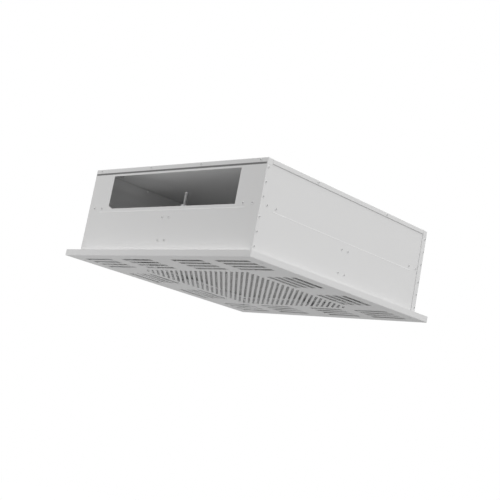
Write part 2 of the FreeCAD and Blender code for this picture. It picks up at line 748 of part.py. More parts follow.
def make_threads():
    """Makes the glue threads that hold the pleats apart, above and below."""
    half = dim.pack_half
    rows = int(half / dim.thread_pitch)
    levels = (("lower", dim.pack_low - dim.thread_size), ("upper", dim.pack_top))
    for name, low in levels:
        bars = []
        for row in range(-rows, rows + 1):
            corner = Vector(-half, row * dim.thread_pitch - dim.thread_size / 2, low)
            bars.append(Part.makeBox(2 * half, dim.thread_size, dim.thread_size, corner))
        feature(f"{name}_glue_threads", Part.makeCompound(bars))


def make_guards():
    """Makes the two guards of expanded sheet with staggered diamonds."""
    half = dim.guard_half
    pitch = dim.guard_pitch
    open_half = (pitch - dim.guard_strand * math.sqrt(2)) / 2
    limit = dim.filter_half - dim.filter_lip - open_half
    reach = int(2 * limit / pitch)
    levels = (
        ("lower", dim.filter_low + dim.filter_wall),
        ("upper", dim.filter_top - dim.filter_wall - dim.guard_sheet),
    )
    for name, low in levels:
        sheet = Part.makeBox(2 * half, 2 * half, dim.guard_sheet, Vector(-half, -half, low))
        diamonds = []
        for column in range(-reach, reach + 1):
            for row in range(-reach, reach + 1):
                if (column + row) % 2:
                    continue
                x, y = column * pitch / 2, row * pitch / 2
                tips = [(x - open_half, y), (x, y - open_half), (x + open_half, y), (x, y + open_half)]
                wire = Part.makePolygon([Vector(a, b, low) for a, b in tips + tips[:1]])
                diamonds.append(Part.Face(wire).extrude(Vector(0, 0, dim.guard_sheet)))
        feature(f"{name}_guard", sheet.cut(diamonds))


def make_filter():
    """Makes the filter with its gasket and potting."""
    make_filter_frame()
    make_pleats()
    make_threads()
    make_guards()
    height = ("places.filter_top", "places.seal_level")
    outer = square("gasket_outer", "places.filter_half", height)
    inner = square("gasket_inner", "places.filter_half - sizes.gasket_width", height)
    cut("filter_gasket", outer, [inner])
    height = ("places.pack_low - sizes.thread_size", "places.pack_top + sizes.thread_size")
    outer = square("potting_outer", "places.filter_half - sizes.filter_wall", height)
    inner = square("potting_inner", "places.pack_half", height)
    cut("filter_potting", outer, [inner])


# Face plate: a tray with a slotted floor.
def slot_cutter(x, y, length, width, angle):
    """Returns the block that punches one slot through the plate."""
    slot = Part.makeBox(length, width, dim.plate_sheet, Vector(-length / 2, -width / 2, 0))
    slot.rotate(Vector(0, 0, 0), Z_AXIS, angle)
    slot.translate(Vector(x, y, 0))
    return slot


def diagonal_slots():
    """Lists the middle field's slots, cut off by the field's square."""
    last = int(2 * dim.field_half / dim.slot_pitch)
    slots = []
    for number in range(-last, last + 1):
        line = number * dim.slot_pitch
        length = math.sqrt(2) * (2 * dim.field_half - abs(line))
        slots.append(slot_cutter(line / 2, line / 2, length, dim.slot_width, -45))
    return slots


def group_slots(along):
    """Lists the four slots of one group at the -Y side, at a place along that side."""
    slots = []
    for row in (-1.5, -0.5, 0.5, 1.5):
        line = -dim.ring_line + row * dim.ring_pitch
        slots.append(slot_cutter(along, line, dim.ring_length, dim.ring_width, 0))
    return slots


def outer_slots():
    """Lists the slots of the twelve outer groups: four by four without the middle."""
    slots = []
    for side, angle in SIDES.items():
        places = [-dim.ring_near, dim.ring_near]
        if side in ("front", "back"):
            places += [-dim.ring_far, dim.ring_far]
        for along in places:
            slots += turned_shapes(group_slots(along), angle)
    return slots


def rounded_block(name, half, height, corner, edge):
    """Adds a square block with rounded corners and a rounded underside."""
    block = fillet(f"{name}_corners", square(f"{name}_block", half, height), corner, is_vertical)
    low = block.Base.Shape.BoundBox.ZMin

    def underneath(_edge, middle):
        return middle.z < low + 0.01

    return fillet(f"{name}_edges", block, edge, underneath)


def make_face_plate():
    """Makes the tray with its upturned rim, then cuts its slots and screw holes."""
    outer_bend = dim.bend_radius + dim.plate_sheet
    whole = rounded_block("plate", "places.plate_half", ("0", "sizes.rim_height"),
                          dim.rim_corner, outer_bend)
    inside = "places.plate_half - sizes.plate_sheet"
    above = ("sizes.plate_sheet", "sizes.rim_height + sizes.plate_sheet")
    inner_corner = dim.rim_corner - dim.plate_sheet
    hollow = rounded_block("hollow", inside, above, inner_corner, dim.bend_radius)
    tray = cut("plate_tray", whole, [hollow])
    doc.recompute()
    cutters = diagonal_slots() + outer_slots()
    for angle in (SIDES["right"], SIDES["left"]):
        cutters += turned_shapes(screw_holes().Solids, angle)
    feature("face_plate", tray.Shape.cut(cutters))


def make_face_screws():
    """Makes the countersunk screws and the weld nuts on the casing's lips."""
    screws = []
    nuts = []
    seat = dim.plate_sheet + dim.casing_sheet
    for angle in (SIDES["right"], SIDES["left"]):
        for x, y in screw_spots():
            shank = Part.makeCylinder(dim.screw_diameter / 2, dim.screw_length, Vector(x, y, 0), Z_AXIS)
            screw = screw_cone(x, y, 0).fuse(shank).removeSplitter()
            screws += turned_shapes(screw.Solids, angle)
            radius = dim.weld_nut_flats / math.sqrt(3)
            turns = [step * math.pi / 3 for step in range(7)]
            ring = [Vector(x + radius * math.cos(t), y + radius * math.sin(t), seat) for t in turns]
            nut = Part.Face(Part.makePolygon(ring)).extrude(Vector(0, 0, dim.weld_nut_height))
            bore_radius = dim.screw_diameter / 2 + dim.thread_gap
            bore = Part.makeCylinder(bore_radius, dim.screw_length, Vector(x, y, 0), Z_AXIS)
            nuts += turned_shapes([nut.cut(bore)], angle)
    feature("face_screws", Part.makeCompound(screws))
    feature("face_weld_nuts", Part.makeCompound(nuts))


make_panels()
make_cover()
make_hanger_nuts()
make_groove_seals()
make_rivets()
frame_tabs = make_sealing_frame()
doc.recompute()
make_bead(frame_tabs)
for (side_name, side_angle), (rod_x, rod_y) in zip(SIDES.items(), rod_spots()):
    make_clamp(side_name, side_angle, rod_x, rod_y)
make_filter()
make_face_plate()
make_face_screws()
doc.recompute()

NODES = ["front_panel", "back_panel", "right_panel", "left_panel", "top_cover", "hanger_nuts",
         "front_groove_seal", "back_groove_seal", "sealing_frame", "sealant_bead", "filter_gasket",
         "filter_potting", "pleated_paper", "lower_glue_threads", "upper_glue_threads",
         "lower_guard", "upper_guard", "face_plate", "face_screws", "face_weld_nuts",
         "cover_rivets", "frame_rivets", "bracket_rivets"]
NODES += [f"{end}_{side}_corner_rivets" for end in ("front", "back") for side in ("left", "right")]
for side_name in SIDES:
    NODES += [f"{side_name}_{kind}" for kind in (
        "clamp_bracket", "clamp_rod", "upper_nut", "lower_nut", "washer", "claw")]
    NODES.append(f"filter_{side_name}_bar")

for item in doc.Objects:
    if "Invalid" in item.State or "Error" in item.State:
        raise RuntimeError(f"{item.Name} failed: {item.State}")
for node in NODES:
    shape = doc.getObject(node).Shape
    if shape.isNull() or not shape.isValid():
        raise RuntimeError(f"{node} has no valid shape")
for node in NODES:
    piece = doc.getObject(node)
    piece.Label = node
    piece.Shape.exportStep(f"parts/{node}.step")
print(len(NODES), "pieces written")
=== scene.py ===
import json
import math

import bmesh
import bpy
from mathutils import Matrix, Vector

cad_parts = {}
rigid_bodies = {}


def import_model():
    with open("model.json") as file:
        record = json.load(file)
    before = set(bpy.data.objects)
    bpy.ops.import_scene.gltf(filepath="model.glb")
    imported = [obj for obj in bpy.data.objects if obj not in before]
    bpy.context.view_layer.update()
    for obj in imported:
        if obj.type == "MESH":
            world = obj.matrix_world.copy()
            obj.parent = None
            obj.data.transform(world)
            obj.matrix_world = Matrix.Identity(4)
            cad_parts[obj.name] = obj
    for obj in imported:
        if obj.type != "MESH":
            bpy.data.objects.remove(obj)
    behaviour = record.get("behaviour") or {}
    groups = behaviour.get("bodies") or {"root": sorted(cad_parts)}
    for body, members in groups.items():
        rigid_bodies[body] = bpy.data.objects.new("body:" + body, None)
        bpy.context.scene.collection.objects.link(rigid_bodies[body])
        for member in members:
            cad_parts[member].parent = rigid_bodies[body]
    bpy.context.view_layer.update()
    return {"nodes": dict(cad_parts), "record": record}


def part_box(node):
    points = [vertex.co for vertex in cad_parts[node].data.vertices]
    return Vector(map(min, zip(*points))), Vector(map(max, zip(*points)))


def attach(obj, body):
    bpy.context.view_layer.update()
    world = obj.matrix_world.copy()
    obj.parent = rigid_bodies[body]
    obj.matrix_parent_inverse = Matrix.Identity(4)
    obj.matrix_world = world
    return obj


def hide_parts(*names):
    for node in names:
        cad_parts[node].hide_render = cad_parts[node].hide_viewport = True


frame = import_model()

scene = bpy.context.scene
nodes = frame["nodes"]
MM = 0.001
QUARTER_TURN = math.pi / 2
SIDES = ("front", "right", "back", "left")

# Level line of the sealing frame on the walls, and the painted shadow line of the seam under the side rims,
# in metres.
FRAME_LINE_LEVEL = 0.1074
FRAME_LINE_REACH = 0.235
FRAME_LINE_HALF_WIDTH = 1.4 * MM
SEAM_SHADOW_LEVEL = 0.1996
SEAM_SHADOW_REACH = 0.2605
SEAM_SHADOW_WIDTH = 1.2 * MM


# Camera, at the photograph's place: below the face plate, looking up at its near corner.
def add_camera():
    """Adds the camera from its place and its three angles."""
    yaw = math.radians(-45.69)
    pitch = math.radians(10.47)
    roll = math.radians(10.71)
    place = (1.787, -1.754, -0.372)
    ahead = Vector((math.sin(yaw) * math.cos(pitch), math.cos(yaw) * math.cos(pitch), math.sin(pitch)))
    right = Vector((math.cos(yaw), -math.sin(yaw), 0))
    up = right.cross(ahead)
    side = right * math.cos(roll) + up * math.sin(roll)
    top = up * math.cos(roll) - right * math.sin(roll)
    lens = bpy.data.cameras.new("photo_lens")
    lens.lens = 79.8
    lens.sensor_width = 36
    lens.clip_end = 200
    camera = bpy.data.objects.new("photo_camera", lens)
    camera.matrix_world = Matrix.Translation(place) @ Matrix((
        (side.x, top.x, -ahead.x, 0),
        (side.y, top.y, -ahead.y, 0),
        (side.z, top.z, -ahead.z, 0),
        (0, 0, 0, 1)))
    scene.collection.objects.link(camera)
    scene.camera = camera


def add_softbox(name, place, target, size, power, hidden=False):
    """Adds a soft light, wide by high, that faces a target, out of the camera's sight if hidden."""
    light = bpy.data.lights.new(name, "AREA")
    light.shape = "RECTANGLE"
    light.size, light.size_y = size
    light.energy = power
    lamp = bpy.data.objects.new(name, light)
    lamp.location = place
    lamp.rotation_euler = (Vector(target) - Vector(place)).to_track_quat("-Z", "Y").to_euler()
    lamp.visible_camera = not hidden
    lamp.visible_glossy = not hidden
    scene.collection.objects.link(lamp)


# Small helpers for node trees.
def connect(tree, source, socket):
    """Links an output to an input, or sets the input to a plain value."""
    if isinstance(source, bpy.types.NodeSocket):
        tree.links.new(source, socket)
    elif source is not None:
        socket.default_value = source


def calc(tree, operation, first, second=None, clamp=False):
    """Adds a Math node and returns its value."""
    node = tree.nodes.new("ShaderNodeMath")
    node.operation = operation
    node.use_clamp = clamp
    for value, socket in zip((first, second), node.inputs):
        connect(tree, value, socket)
    return node.outputs[0]


def blend_colours(tree, factor, first, second, mode="MIX"):
    """Adds a colour mix and returns its colour."""
    node = tree.nodes.new("ShaderNodeMix")
    node.data_type = "RGBA"
    node.blend_type = mode
    connect(tree, factor, node.inputs[0])
    connect(tree, first, node.inputs[6])
    connect(tree, second, node.inputs[7])
    return node.outputs[2]


def noise(tree, vector, scale, detail=3, roughness=0.5):
    """Adds a noise texture and returns its value."""
    node = tree.nodes.new("ShaderNodeTexNoise")
    connect(tree, vector, node.inputs["Vector"])
    connect(tree, scale, node.inputs["Scale"])
    node.inputs["Detail"].default_value = detail
    node.inputs["Roughness"].default_value = roughness
    return node.outputs["Fac"]


def cells(tree, vector, scale):
    """Adds a cell texture and returns its outputs."""
    node = tree.nodes.new("ShaderNodeTexVoronoi")
    connect(tree, vector, node.inputs["Vector"])
    connect(tree, scale, node.inputs["Scale"])
    return node.outputs


def fit(tree, value, low, high, new_low, new_high):
    """Maps a range of values onto another, held at its ends."""
    node = tree.nodes.new("ShaderNodeMapRange")
    for number, part in enumerate((value, low, high, new_low, new_high)):
        connect(tree, part, node.inputs[number])
    return node.outputs[0]


def split_vector(tree, vector):
    """Returns the X, Y and Z outputs of a vector."""
    node = tree.nodes.new("ShaderNodeSeparateXYZ")
    connect(tree, vector, node.inputs[0])
    return node.outputs


def four_to_one(tree, first, second):
    """Adds four fifths of one value to a fifth of another."""
    return calc(tree, "ADD", calc(tree, "MULTIPLY", first, 0.8), calc(tree, "MULTIPLY", second, 0.2))


def about_zero(tree, value, amount):
    """Turns a value about one half into one about zero, times an amount."""
    return calc(tree, "MULTIPLY", calc(tree, "SUBTRACT", value, 0.5), amount)


def shade(tree, colour, shift):
    """Makes a colour lighter or darker by a small share and returns it."""
    factor = calc(tree, "ADD", 1.0, shift)
    combine = tree.nodes.new("ShaderNodeCombineColor")
    for socket in combine.inputs:
        connect(tree, factor, socket)
    return blend_colours(tree, 1.0, colour, combine.outputs[0], "MULTIPLY")


def new_group(name, inputs, outputs):
    """Starts a shader group with named inputs and outputs."""
    tree = bpy.data.node_groups.new(name, "ShaderNodeTree")
    for label, kind, value in inputs:
        socket = tree.interface.new_socket(label, in_out="INPUT", socket_type=f"NodeSocket{kind}")
        socket.default_value = value
    for label, kind in outputs:
        tree.interface.new_socket(label, in_out="OUTPUT", socket_type=f"NodeSocket{kind}")
    given = tree.nodes.new("NodeGroupInput").outputs
    result = tree.nodes.new("NodeGroupOutput").inputs
    place = tree.nodes.new("ShaderNodeTexCoord").outputs["Object"]
    return tree, given, result, place


# Effects that several finishes share.
COLOUR = ("Colour", "Color")
ROUGHNESS = ("Roughness", "Float")
HEIGHT = ("Height", "Float")
MASK = ("Mask", "Float")


def build_powder_coat():
    """Fine orange peel with slightly uneven tone, as on powder-coated sheet."""
    inputs = [("Colour", "Color", (0.6, 0.6, 0.6, 1)), ("Unevenness", "Float", 0.03),
              ("Roughness", "Float", 0.5)]
    tree, given, result, place = new_group("powder_coat", inputs, [COLOUR, ROUGHNESS, HEIGHT])
    patches = noise(tree, place, scale=4.0, detail=4, roughness=0.55)
    speckle = noise(tree, place, scale=2200.0, detail=2)
    shift = about_zero(tree, four_to_one(tree, patches, speckle), given["Unevenness"])
    gloss = about_zero(tree, noise(tree, place, scale=9.0), 0.1)
    peel = noise(tree, place, scale=650.0, detail=2, roughness=0.4)
    connect(tree, shade(tree, given["Colour"], shift), result["Colour"])
    connect(tree, calc(tree, "ADD", given["Roughness"], gloss), result["Roughness"])
    connect(tree, peel, result["Height"])
    return tree


def build_level_line():
    """Mask of a thin level line round the casing, where a finish lays a painted highlight line or a painted
    shadow line.
    """
    inputs = [("Level", "Float", 0.1), ("Reach", "Float", 0.2), ("Width", "Float", 0.001)]
    tree, given, result, place = new_group("level_line", inputs, [MASK])
    split = split_vector(tree, place)
    away = calc(tree, "ABSOLUTE", calc(tree, "SUBTRACT", split["Z"], given["Level"]))
    line = calc(tree, "SUBTRACT", 1.0, calc(tree, "DIVIDE", away, given["Width"]), clamp=True)
    along = calc(tree, "MINIMUM", calc(tree, "ABSOLUTE", split["X"]), calc(tree, "ABSOLUTE", split["Y"]))
    within = calc(tree, "LESS_THAN", along, given["Reach"])
    connect(tree, calc(tree, "MULTIPLY", line, within), result["Mask"])
    return tree


def build_inner_side():
    """Mask of the faces that lie inside the casing, between the cover and the face plate."""
    inputs = [("Side reach", "Float", 0.273), ("Front reach", "Float", 0.2741),
              ("Low", "Float", 0.00095), ("High", "Float", 0.2089)]
    tree, given, result, place = new_group("inner_side", inputs, [MASK])
    split = split_vector(tree, place)
    across = calc(tree, "LESS_THAN", calc(tree, "ABSOLUTE", split["X"]), given["Side reach"])
    along = calc(tree, "LESS_THAN", calc(tree, "ABSOLUTE", split["Y"]), given["Front reach"])
    above = calc(tree, "GREATER_THAN", split["Z"], given["Low"])
    below = calc(tree, "LESS_THAN", split["Z"], given["High"])
    walls = calc(tree, "MULTIPLY", across, along)
    levels = calc(tree, "MULTIPLY", above, below)
    connect(tree, calc(tree, "MULTIPLY", walls, levels), result["Mask"])
    return tree


def build_settled_dust():
    """Thin dust that lies in patches on faces that look up."""
    inputs = [("Colour", "Color", (0.6, 0.6, 0.6, 1)), ("Dust", "Color", (0.5, 0.48, 0.44, 1)),
              ("Amount", "Float", 0.25)]
    tree, given, result, place = new_group("settled_dust", inputs, [COLOUR])
    normal = tree.nodes.new("ShaderNodeNewGeometry").outputs["Normal"]
    upward = fit(tree, split_vector(tree, normal)["Z"], 0.6, 1.0, 0.0, 1.0)
    patches = fit(tree, noise(tree, place, scale=14.0, detail=5, roughness=0.6), 0.35, 0.75, 0.2, 1.0)
    mask = calc(tree, "MULTIPLY", calc(tree, "MULTIPLY", upward, patches), given["Amount"])
    connect(tree, blend_colours(tree, mask, given["Colour"], given["Dust"]), result["Colour"])
    return tree


def build_metal_grain():
    """Fine drawn lines of bare metal, stretched by a direction."""
    inputs = [("Colour", "Color", (0.6, 0.6, 0.6, 1)), ("Stretch", "Vector", (30, 1500, 1500)),
              ("Contrast", "Float", 0.12), ("Roughness", "Float", 0.35)]
    tree, given, result, place = new_group("metal_grain", inputs, [COLOUR, ROUGHNESS, HEIGHT])
    scaled = tree.nodes.new("ShaderNodeVectorMath")
    scaled.operation = "MULTIPLY"
    connect(tree, place, scaled.inputs[0])
    connect(tree, given["Stretch"], scaled.inputs[1])
    lines = noise(tree, scaled.outputs[0], scale=1.0, roughness=0.6)
    shift = about_zero(tree, lines, given["Contrast"])
    connect(tree, shade(tree, given["Colour"], shift), result["Colour"])
    connect(tree, calc(tree, "ADD", given["Roughness"], shift), result["Roughness"])
    connect(tree, lines, result["Height"])
    return tree


def build_zinc_spangle():
    """Crystal flakes of hot-dip galvanised sheet."""
    inputs = [("Light", "Color", (0.66, 0.67, 0.68, 1)), ("Dark", "Color", (0.5, 0.51, 0.52, 1)),
              ("Flake scale", "Float", 90.0), ("Roughness", "Float", 0.4)]
    tree, given, result, place = new_group("zinc_spangle", inputs, [COLOUR, ROUGHNESS, HEIGHT])
    flakes = cells(tree, place, given["Flake scale"])
    split = tree.nodes.new("ShaderNodeSeparateColor")
    connect(tree, flakes["Color"], split.inputs[0])
    gloss = about_zero(tree, split.outputs[1], 0.16)
    connect(tree, blend_colours(tree, split.outputs[0], given["Dark"], given["Light"]), result["Colour"])
    connect(tree, calc(tree, "ADD", given["Roughness"], gloss), result["Roughness"])
    connect(tree, flakes["Distance"], result["Height"])
    return tree


def build_fibre_felt():
    """Short tangled fibres of filter paper."""
    inputs = [("Colour", "Color", (0.9, 0.9, 0.89, 1)), ("Shade", "Color", (0.8, 0.8, 0.79, 1)),
              ("Fibre scale", "Float", 900.0)]
    tree, given, result, place = new_group("fibre_felt", inputs, [COLOUR, HEIGHT])
    tangle = noise(tree, place, given["Fibre scale"], detail=6, roughness=0.7)
    cloudy = noise(tree, place, scale=40.0)
    mask = fit(tree, calc(tree, "MULTIPLY", tangle, cloudy), 0.1, 0.4, 1.0, 0.0)
    connect(tree, blend_colours(tree, mask, given["Colour"], given["Shade"]), result["Colour"])
    connect(tree, tangle, result["Height"])
    return tree


def build_soft_lumps():
    """Slow swells and fine pores of sealant, resin and foam."""
    inputs = [("Colour", "Color", (0.5, 0.5, 0.5, 1)), ("Swell scale", "Float", 60.0),
              ("Pore scale", "Float", 900.0), ("Unevenness", "Float", 0.1)]
    tree, given, result, place = new_group("soft_lumps", inputs, [COLOUR, HEIGHT])
    swell = noise(tree, place, given["Swell scale"], detail=2)
    pores = cells(tree, place, given["Pore scale"])
    height = four_to_one(tree, swell, pores["Distance"])
    shift = about_zero(tree, height, given["Unevenness"])
    connect(tree, shade(tree, given["Colour"], shift), result["Colour"])
    connect(tree, height, result["Height"])
    return tree


powder_coat = build_powder_coat()
level_line = build_level_line()
inner_side = build_inner_side()
settled_dust = build_settled_dust()
metal_grain = build_metal_grain()
zinc_spangle = build_zinc_spangle()
fibre_felt = build_fibre_felt()
soft_lumps = build_soft_lumps()


# Finishes.
def new_finish(name, **values):
    """Starts a material and sets its shader's own plain values."""
    finish = bpy.data.materials.new(name)
    finish.use_nodes = True
    shader = finish.node_tree.nodes["Principled BSDF"]
    for label, value in values.items():
        shader.inputs[label.replace("_", " ")].default_value = value
    return finish, finish.node_tree, shader


def use_group(tree, group, **values):
    """Places a shared group in a material with its own values."""
    node = tree.nodes.new("ShaderNodeGroup")
    node.node_tree = group
    for label, value in values.items():
        connect(tree, value, node.inputs[label.replace("_", " ")])
    return node.outputs


def add_relief(tree, shader, height, depth):
    """Feeds a height into the shader's normal, its depth in metres."""
    bump = tree.nodes.new("ShaderNodeBump")
    bump.inputs["Strength"].default_value = 1.0
    bump.inputs["Distance"].default_value = depth
    tree.links.new(height, bump.inputs["Height"])
    tree.links.new(bump.outputs["Normal"], shader.inputs["Normal"])


def grey(value, warmth=0.0):
    """Returns a neutral colour, warmed or cooled a little."""
    return (value * (1 + warmth), value, value * (1 - warmth), 1)


def draw_line(tree, colour, outside, level, reach, width, share, tone):
    """Blends a share of a level line's tone into the outer faces' colour."""
    line = use_group(tree, level_line, Level=level, Reach=reach, Width=width)["Mask"]
    mask = calc(tree, "MULTIPLY", line, outside)
    return blend_colours(tree, calc(tree, "MULTIPLY", mask, share), colour, grey(tone))


def paint_finish(name, tone, with_lines=False):
    """Light grey powder coat with painted light: lighter inside, and on the casing a highlight line and a
    shadow line.
    """
    # The faces inside the casing take one lighter tone of the same paint: painted light for the light that
    # reaches inside.
    inner_painted_light_tone = 0.72
    finish, tree, shader = new_finish(name, Specular_IOR_Level=0.35)
    coating = use_group(tree, powder_coat, Colour=grey(tone, 0.002), Unevenness=0.05, Roughness=0.52)
    dust = use_group(tree, settled_dust, Colour=coating["Colour"], Dust=(0.52, 0.51, 0.48, 1), Amount=0.15)
    inside = use_group(tree, inner_side)["Mask"]
    colour = blend_colours(tree, inside, dust["Colour"], grey(inner_painted_light_tone))
    if with_lines:
        outside = calc(tree, "SUBTRACT", 1.0, inside)
        # A lighter line at the sealing frame's level: a painted highlight along the pressed ridge.
        colour = draw_line(tree, colour, outside, FRAME_LINE_LEVEL, FRAME_LINE_REACH,
                           FRAME_LINE_HALF_WIDTH, share=0.3, tone=0.9)
        # A dark line just under the side rims: a painted shadow of the rims' step.
        colour = draw_line(tree, colour, outside, SEAM_SHADOW_LEVEL, SEAM_SHADOW_REACH, SEAM_SHADOW_WIDTH, share=0.5, tone=0.2)
    tree.links.new(colour, shader.inputs["Base Color"])
    tree.links.new(coating["Roughness"], shader.inputs["Roughness"])
    add_relief(tree, shader, coating["Height"], 0.01 * MM)
    return finish


def bare_metal_finish(name, tone, stretch, roughness, metal, contrast=0.14):
    """Drawn or plated metal with a fine grain."""
    finish, tree, shader = new_finish(name, Metallic=metal)
    grain = use_group(tree, metal_grain, Colour=grey(tone), Stretch=stretch, Contrast=contrast,
                      Roughness=roughness)
    tree.links.new(grain["Colour"], shader.inputs["Base Color"])
    tree.links.new(grain["Roughness"], shader.inputs["Roughness"])
    add_relief(tree, shader, grain["Height"], 0.03 * MM)
    return finish


def galvanised_finish():
    """Galvanised sheet of the frame and the brackets."""
    finish, tree, shader = new_finish("galvanised_sheet", Metallic=0.85)
    zinc = use_group(tree, zinc_spangle)
    dust = use_group(tree, settled_dust, Colour=zinc["Colour"], Amount=0.3)
    tree.links.new(dust["Colour"], shader.inputs["Base Color"])
    tree.links.new(zinc["Roughness"], shader.inputs["Roughness"])
    add_relief(tree, shader, zinc["Height"], 0.03 * MM)
    return finish


def soft_finish(name, tone, swell, pore, depth, roughness, warmth=0.0):
    """Sealant, resin or foam."""
    finish, tree, shader = new_finish(name, Roughness=roughness)
    lumps = use_group(tree, soft_lumps, Colour=grey(tone, warmth), Swell_scale=swell, Pore_scale=pore,
                      Unevenness=0.15)
    tree.links.new(lumps["Colour"], shader.inputs["Base Color"])
    add_relief(tree, shader, lumps["Height"], depth)
    return finish


def paper_finish():
    """White glass-fibre filter paper."""
    finish, tree, shader = new_finish("glass_fibre_paper", Roughness=0.9)
    felt = use_group(tree, fibre_felt)
    tree.links.new(felt["Colour"], shader.inputs["Base Color"])
    add_relief(tree, shader, felt["Height"], 0.1 * MM)
    return finish


CASING_PAINT = paint_finish("casing_powder_coat", tone=0.6, with_lines=True)
PLATE_PAINT = paint_finish("plate_powder_coat", tone=0.6)
RIVET_METAL = bare_metal_finish("rivet_head", tone=0.64, stretch=(900, 900, 900), roughness=0.6, metal=0.25)
# The mandrel and the walls of the head's hollow are darker: the mandrel's own steel, and painted shade in
# the hollow.
RIVET_CORE_AND_HOLLOW_SHADE = bare_metal_finish("rivet_mandrel_hollow_shade", tone=0.42, stretch=(900, 900, 900), roughness=0.6,
                               metal=0.3)
# The tails are near white: a painted highlight standing in for the glint of their bare metal.
RIVET_TAIL_HIGHLIGHT = bare_metal_finish("rivet_tail_painted_highlight", tone=0.98, stretch=(900, 900, 900), roughness=0.2, metal=0.1,
                               contrast=0.02)
GALVANISED = galvanised_finish()
ZINC_STEEL = bare_metal_finish("zinc_plated_steel", tone=0.55, stretch=(500, 500, 120), roughness=0.42,
                               metal=0.5)
BAR_ALUMINIUM = bare_metal_finish("anodised_aluminium", tone=0.74, stretch=(1200, 1200, 1200),
                                  roughness=0.6, metal=0.3)
# A near-black strip in the groove under the cover's front rim: painted shade standing in for the deep
# groove's shadow.
GROOVE_SHADE_SEALANT = soft_finish("groove_sealant", tone=0.14, swell=70.0, pore=1400.0, depth=0.3 * MM,
                           roughness=0.55)
BEAD_SEALANT = soft_finish("frame_sealant", tone=0.35, swell=45.0, pore=1400.0, depth=0.8 * MM,
                           roughness=0.45)
RESIN = soft_finish("filter_resin", tone=0.74, swell=35.0, pore=800.0, depth=0.5 * MM, roughness=0.3,
                    warmth=0.03)
FOAM = soft_finish("gasket_foam", tone=0.7, swell=90.0, pore=1800.0, depth=0.3 * MM, roughness=0.7,
                   warmth=0.02)
PAPER = paper_finish()
GUARD_COAT = paint_finish("guard_white_coat", tone=0.85)

FINISH_OF_SLOT = {
    "casing_paint": CASING_PAINT, "plate_paint": PLATE_PAINT, "rivet_metal": RIVET_METAL,
    "groove_sealant": GROOVE_SHADE_SEALANT, "zinc_sheet": GALVANISED, "zinc_steel": ZINC_STEEL,
    "filter_aluminium": BAR_ALUMINIUM, "filter_paper": PAPER, "filter_glue": RESIN,
    "filter_gasket_foam": FOAM, "guard_mesh": GUARD_COAT,
}
SLOT_OF_NODE = {part["node"]: part["material_slot"] for part in frame["record"]["subparts"]}


def coat(piece, *finishes):
    """Gives a piece its finishes and no others."""
    piece.data.materials.clear()
    for finish in finishes:
        piece.data.materials.append(finish)


for node_name, node in nodes.items():
    coat(node, FINISH_OF_SLOT[SLOT_OF_NODE[node_name]])
coat(nodes["sealant_bead"], BEAD_SEALANT)


# Modelling helpers.
def set_mode(mode):
    """Switches the active piece to edit mode or back to object mode."""
    bpy.ops.object.mode_set(mode=mode)


def active():
    """Returns the active object, such as the one just added."""
    return bpy.context.view_layer.objects.active


def clear_selection():
    """Deselects every object."""
    for item in bpy.context.view_layer.objects:
        item.select_set(False)


def select_only(*pieces):
    """Selects just these pieces and makes the first one active."""
    clear_selection()
    for piece in pieces:
        piece.select_set(True)
    bpy.context.view_layer.objects.active = pieces[0]


def add_cylinder(sides, radius, length, height, turn=0):
    """Adds a cylinder on the Z axis with its middle at a height."""
    clear_selection()
    bpy.ops.mesh.primitive_cylinder_add(vertices=sides, radius=radius, depth=length,
                                        location=(0, 0, height), rotation=(0, 0, turn))
    bpy.ops.object.transform_apply()
    return active()


def pick_faces(test):
    """Selects in edit mode just the faces that pass a test on centre and normal."""
    mesh = bmesh.from_edit_mesh(active().data)
    for face in mesh.faces:
        face.select_set(False)
    for face in mesh.faces:
        if test(face.calc_center_median(), face.normal):
            face.select_set(True)
    mesh.select_flush_mode()
    bmesh.update_edit_mesh(active().data)


def coat_faces(number, test):
    """Gives in edit mode the faces whose centre passes a test another of the piece's finishes."""
    mesh = bmesh.from_edit_mesh(active().data)
    for face in mesh.faces:
        if test(face.calc_center_median()):
            face.material_index = number
    bmesh.update_edit_mesh(active().data)


def step_out(distance, factor):
    """Extrudes the picked end face along Z and scales it about the axis."""
    bpy.ops.mesh.extrude_region_move(TRANSFORM_OT_translate={"value": (0, 0, distance)})
    bpy.ops.transform.resize(value=(factor, factor, 1), center_override=(0, 0, 0))


def profile_end(upper, radius, steps):
    """Builds an end of a turned piece, in edit mode, from (height step, radius) pairs."""
    sign = 1 if upper else -1
    ends = [vertex.co.z * sign for vertex in bmesh.from_edit_mesh(active().data).verts]
    level = max(ends) - 1e-6
    pick_faces(lambda centre, normal: centre.z * sign > level and normal.z * sign > 0.9)
    for distance, new_radius in steps:
        step_out(distance * sign, new_radius / radius)
        radius = new_radius


def profile_both_ends(radius, steps):
    """Builds both ends of the active turned piece alike."""
    set_mode("EDIT")
    for upper in (True, False):
        profile_end(upper, radius, steps)
    set_mode("OBJECT")


def in_metres(steps):
    """Turns pairs in millimetres into metres."""
    return [(distance * MM, radius * MM) for distance, radius in steps]


def apply_modifiers(piece):
    """Applies all modifiers of a piece in turn."""
    bpy.context.view_layer.objects.active = piece
    for modifier in list(piece.modifiers):
        bpy.ops.object.modifier_apply(modifier=modifier.name)


def cut_with(piece, tool, operation="DIFFERENCE"):
    """Applies a boolean with a tool piece and removes the tool."""
    modifier = piece.modifiers.new("cut", "BOOLEAN")
    modifier.operation = operation
    modifier.solver = "EXACT"
    modifier.object = tool
    apply_modifiers(piece)
    bpy.data.objects.remove(tool)


def set_smooth(piece, degrees):
    """Shades a piece smoothly except over sharp edges."""
    select_only(piece)
    bpy.ops.object.shade_smooth_by_angle(angle=math.radians(degrees))


def copy_to(template, matrix):
    """Copies a piece with its own mesh, moved by a matrix."""
    piece = template.copy()
    piece.data = template.data.copy()
    piece.data.transform(matrix)
    scene.collection.objects.link(piece)
    return piece


